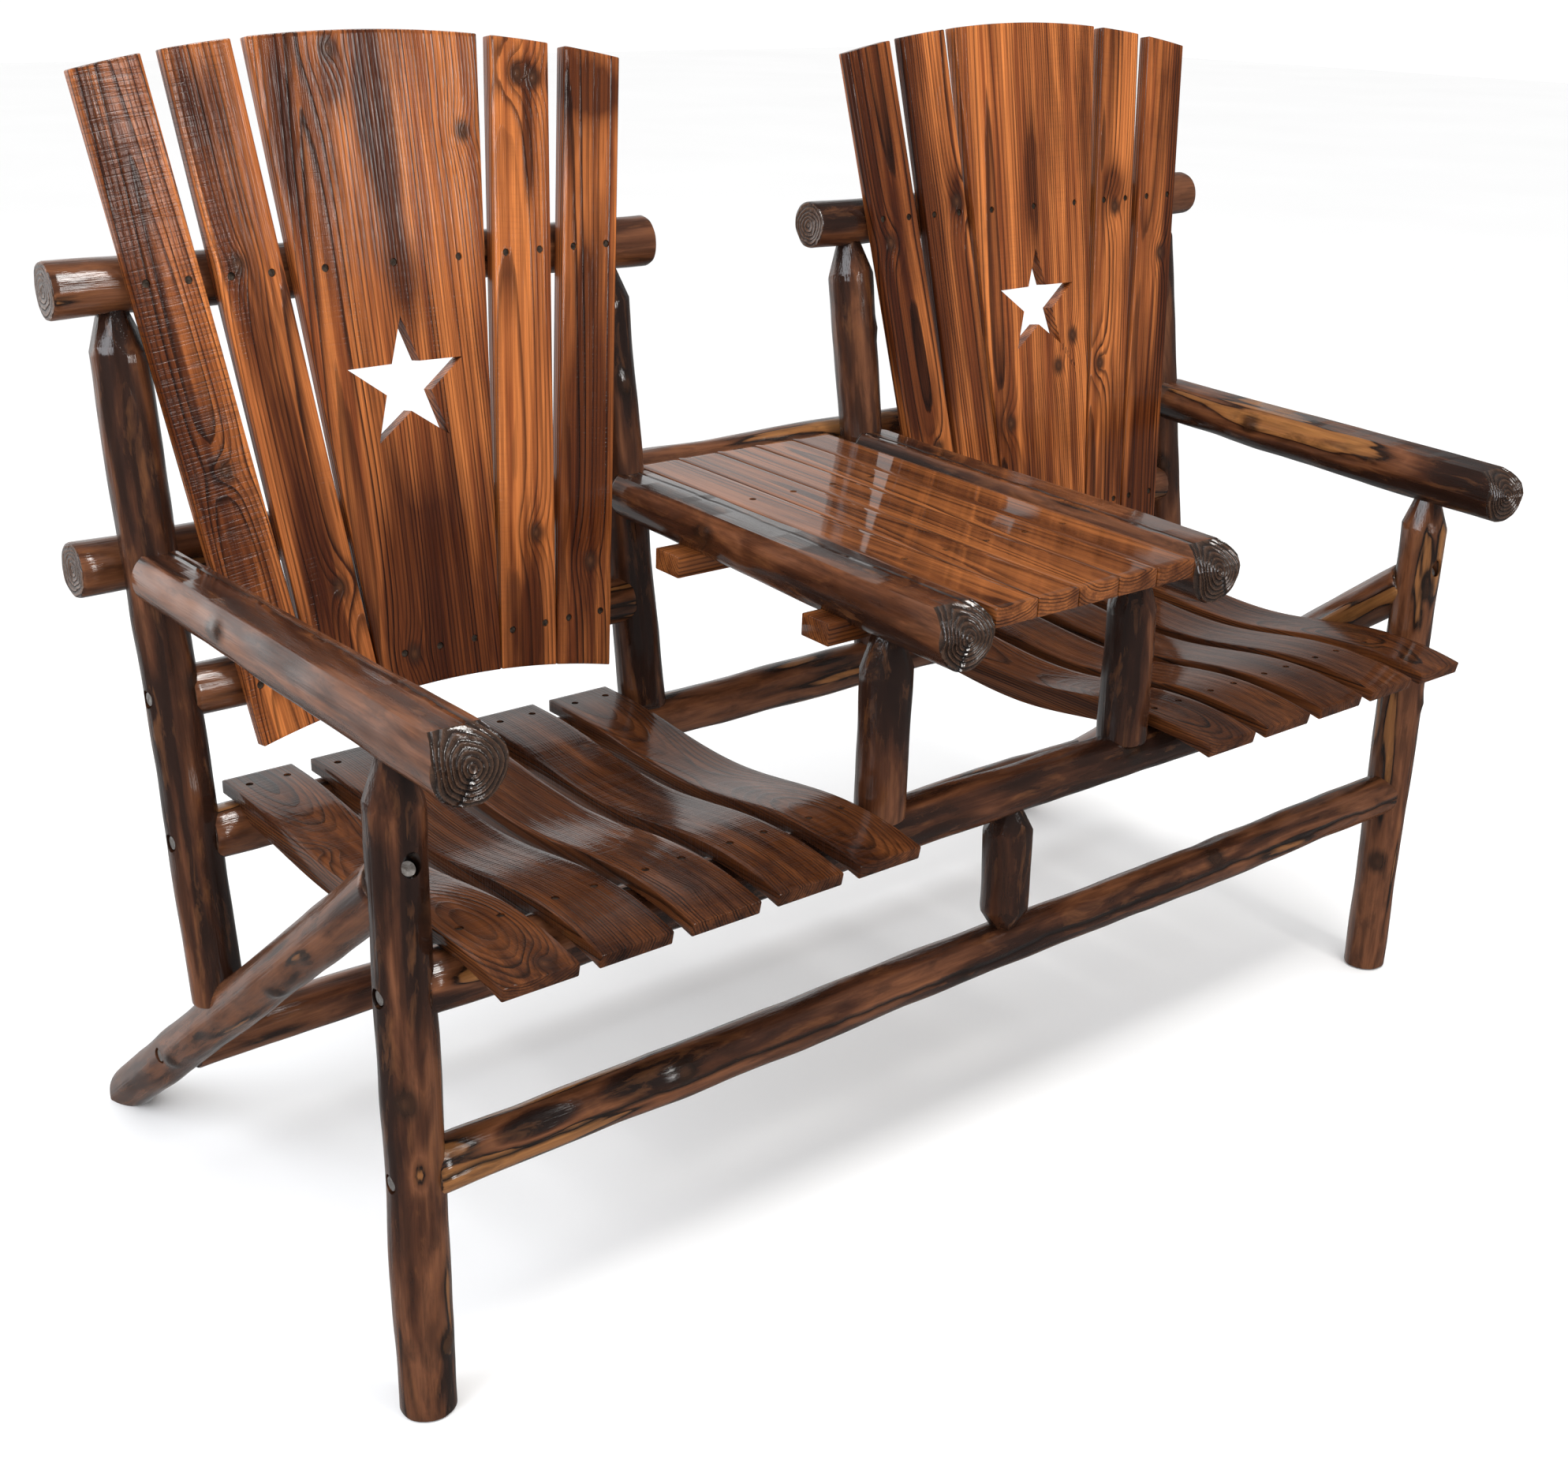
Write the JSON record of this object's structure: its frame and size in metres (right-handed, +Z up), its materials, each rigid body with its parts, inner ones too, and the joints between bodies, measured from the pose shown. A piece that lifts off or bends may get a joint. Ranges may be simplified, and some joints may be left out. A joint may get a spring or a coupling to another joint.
{
  "type": "log double chair with table",
  "caption": "Rustic two-seat log bench with fanned slat backs, star cut-outs, contoured slat seats, planed log armrests and a slatted table between the seats.",
  "frame": {"origin": "on the floor under the middle of the overall box", "axes": "+X to the left hand of someone sitting in it, +Y to the back, +Z up"},
  "size_m": [1.53, 0.7837, 1.1532],
  "materials": {
    "log_wood": "peeled log, charred and brushed, dark brown with tan patches, glossy lacquer",
    "back_board_wood": "softwood board, charred and brushed so that the grain stands out, glossy lacquer",
    "seat_slat_wood": "softwood board, charred and brushed, dark brown, glossy lacquer",
    "table_wood": "softwood board, charred and brushed, brown, very glossy lacquer",
    "screw_steel": "darkened wood screw, sunk below the surface",
    "bolt_steel": "grey bolt head in a counterbore"
  },
  "bodies": {
    "root": {"armrest_inner_left": "log_wood", "armrest_inner_right": "log_wood", "armrest_outer_left": "log_wood", "armrest_outer_right": "log_wood", "back_post_inner_left": "log_wood", "back_post_inner_right": "log_wood", "back_post_outer_left": "log_wood", "back_post_outer_right": "log_wood", "back_screws": "screw_steel", "back_slat_left_1": "back_board_wood", "back_slat_left_2": "back_board_wood", "back_slat_left_3": "back_board_wood", "back_slat_left_4": "back_board_wood", "back_slat_left_5": "back_board_wood", "back_slat_right_1": "back_board_wood", "back_slat_right_2": "back_board_wood", "back_slat_right_3": "back_board_wood", "back_slat_right_4": "back_board_wood", "back_slat_right_5": "back_board_wood", "cross_log_left": "log_wood", "cross_log_right": "log_wood", "frame_bolts": "bolt_steel", "front_leg_left": "log_wood", "front_leg_right": "log_wood", "front_seat_rail": "log_wood", "front_stretcher": "log_wood", "inner_front_post_left": "log_wood", "inner_front_post_right": "log_wood", "long_back_log": "log_wood", "low_rear_stretcher": "log_wood", "rear_brace_left": "log_wood", "rear_brace_right": "log_wood", "rear_seat_rail": "log_wood", "seat_screws": "screw_steel", "seat_slat_left_1": "seat_slat_wood", "seat_slat_left_2": "seat_slat_wood", "seat_slat_left_3": "seat_slat_wood", "seat_slat_left_4": "seat_slat_wood", "seat_slat_left_5": "seat_slat_wood", "seat_slat_right_1": "seat_slat_wood", "seat_slat_right_2": "seat_slat_wood", "seat_slat_right_3": "seat_slat_wood", "seat_slat_right_4": "seat_slat_wood", "seat_slat_right_5": "seat_slat_wood", "short_mid_post": "log_wood", "table_batten_front": "table_wood", "table_batten_rear": "table_wood", "table_screws": "screw_steel", "table_slat_1": "table_wood", "table_slat_2": "table_wood", "table_slat_3": "table_wood", "table_slat_4": "table_wood", "table_slat_5": "table_wood", "top_log_left": "log_wood", "top_log_right": "log_wood"}
  },
  "joints": []
}
